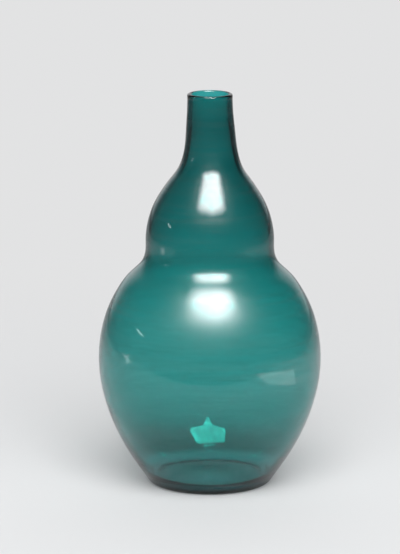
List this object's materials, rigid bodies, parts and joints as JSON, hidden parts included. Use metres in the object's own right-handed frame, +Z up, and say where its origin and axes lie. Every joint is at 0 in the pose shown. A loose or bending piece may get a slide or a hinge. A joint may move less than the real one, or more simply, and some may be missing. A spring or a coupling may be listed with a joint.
{
  "type": "double gourd vase",
  "caption": "Free-standing blown-glass bottle vase: full lower bulb, smaller upper bulb, plain neck with a rounded lip and a flat foot ring.",
  "frame": {"origin": "centre of the flat ring that the vase stands on, at the height of the ring", "axes": "+Z up along the axis of the vase, towards its mouth; the vase is round, so X and Y are alike"},
  "size_m": [0.141, 0.141, 0.25],
  "materials": {
    "teal_glass": "clear teal glass, fire-polished, with fine turning lines round the wall"
  },
  "bodies": {
    "root": {"base": "teal_glass", "foot_ring": "teal_glass", "lower_bulb": "teal_glass", "waist": "teal_glass", "upper_bulb": "teal_glass", "neck": "teal_glass", "lip": "teal_glass"}
  },
  "joints": []
}
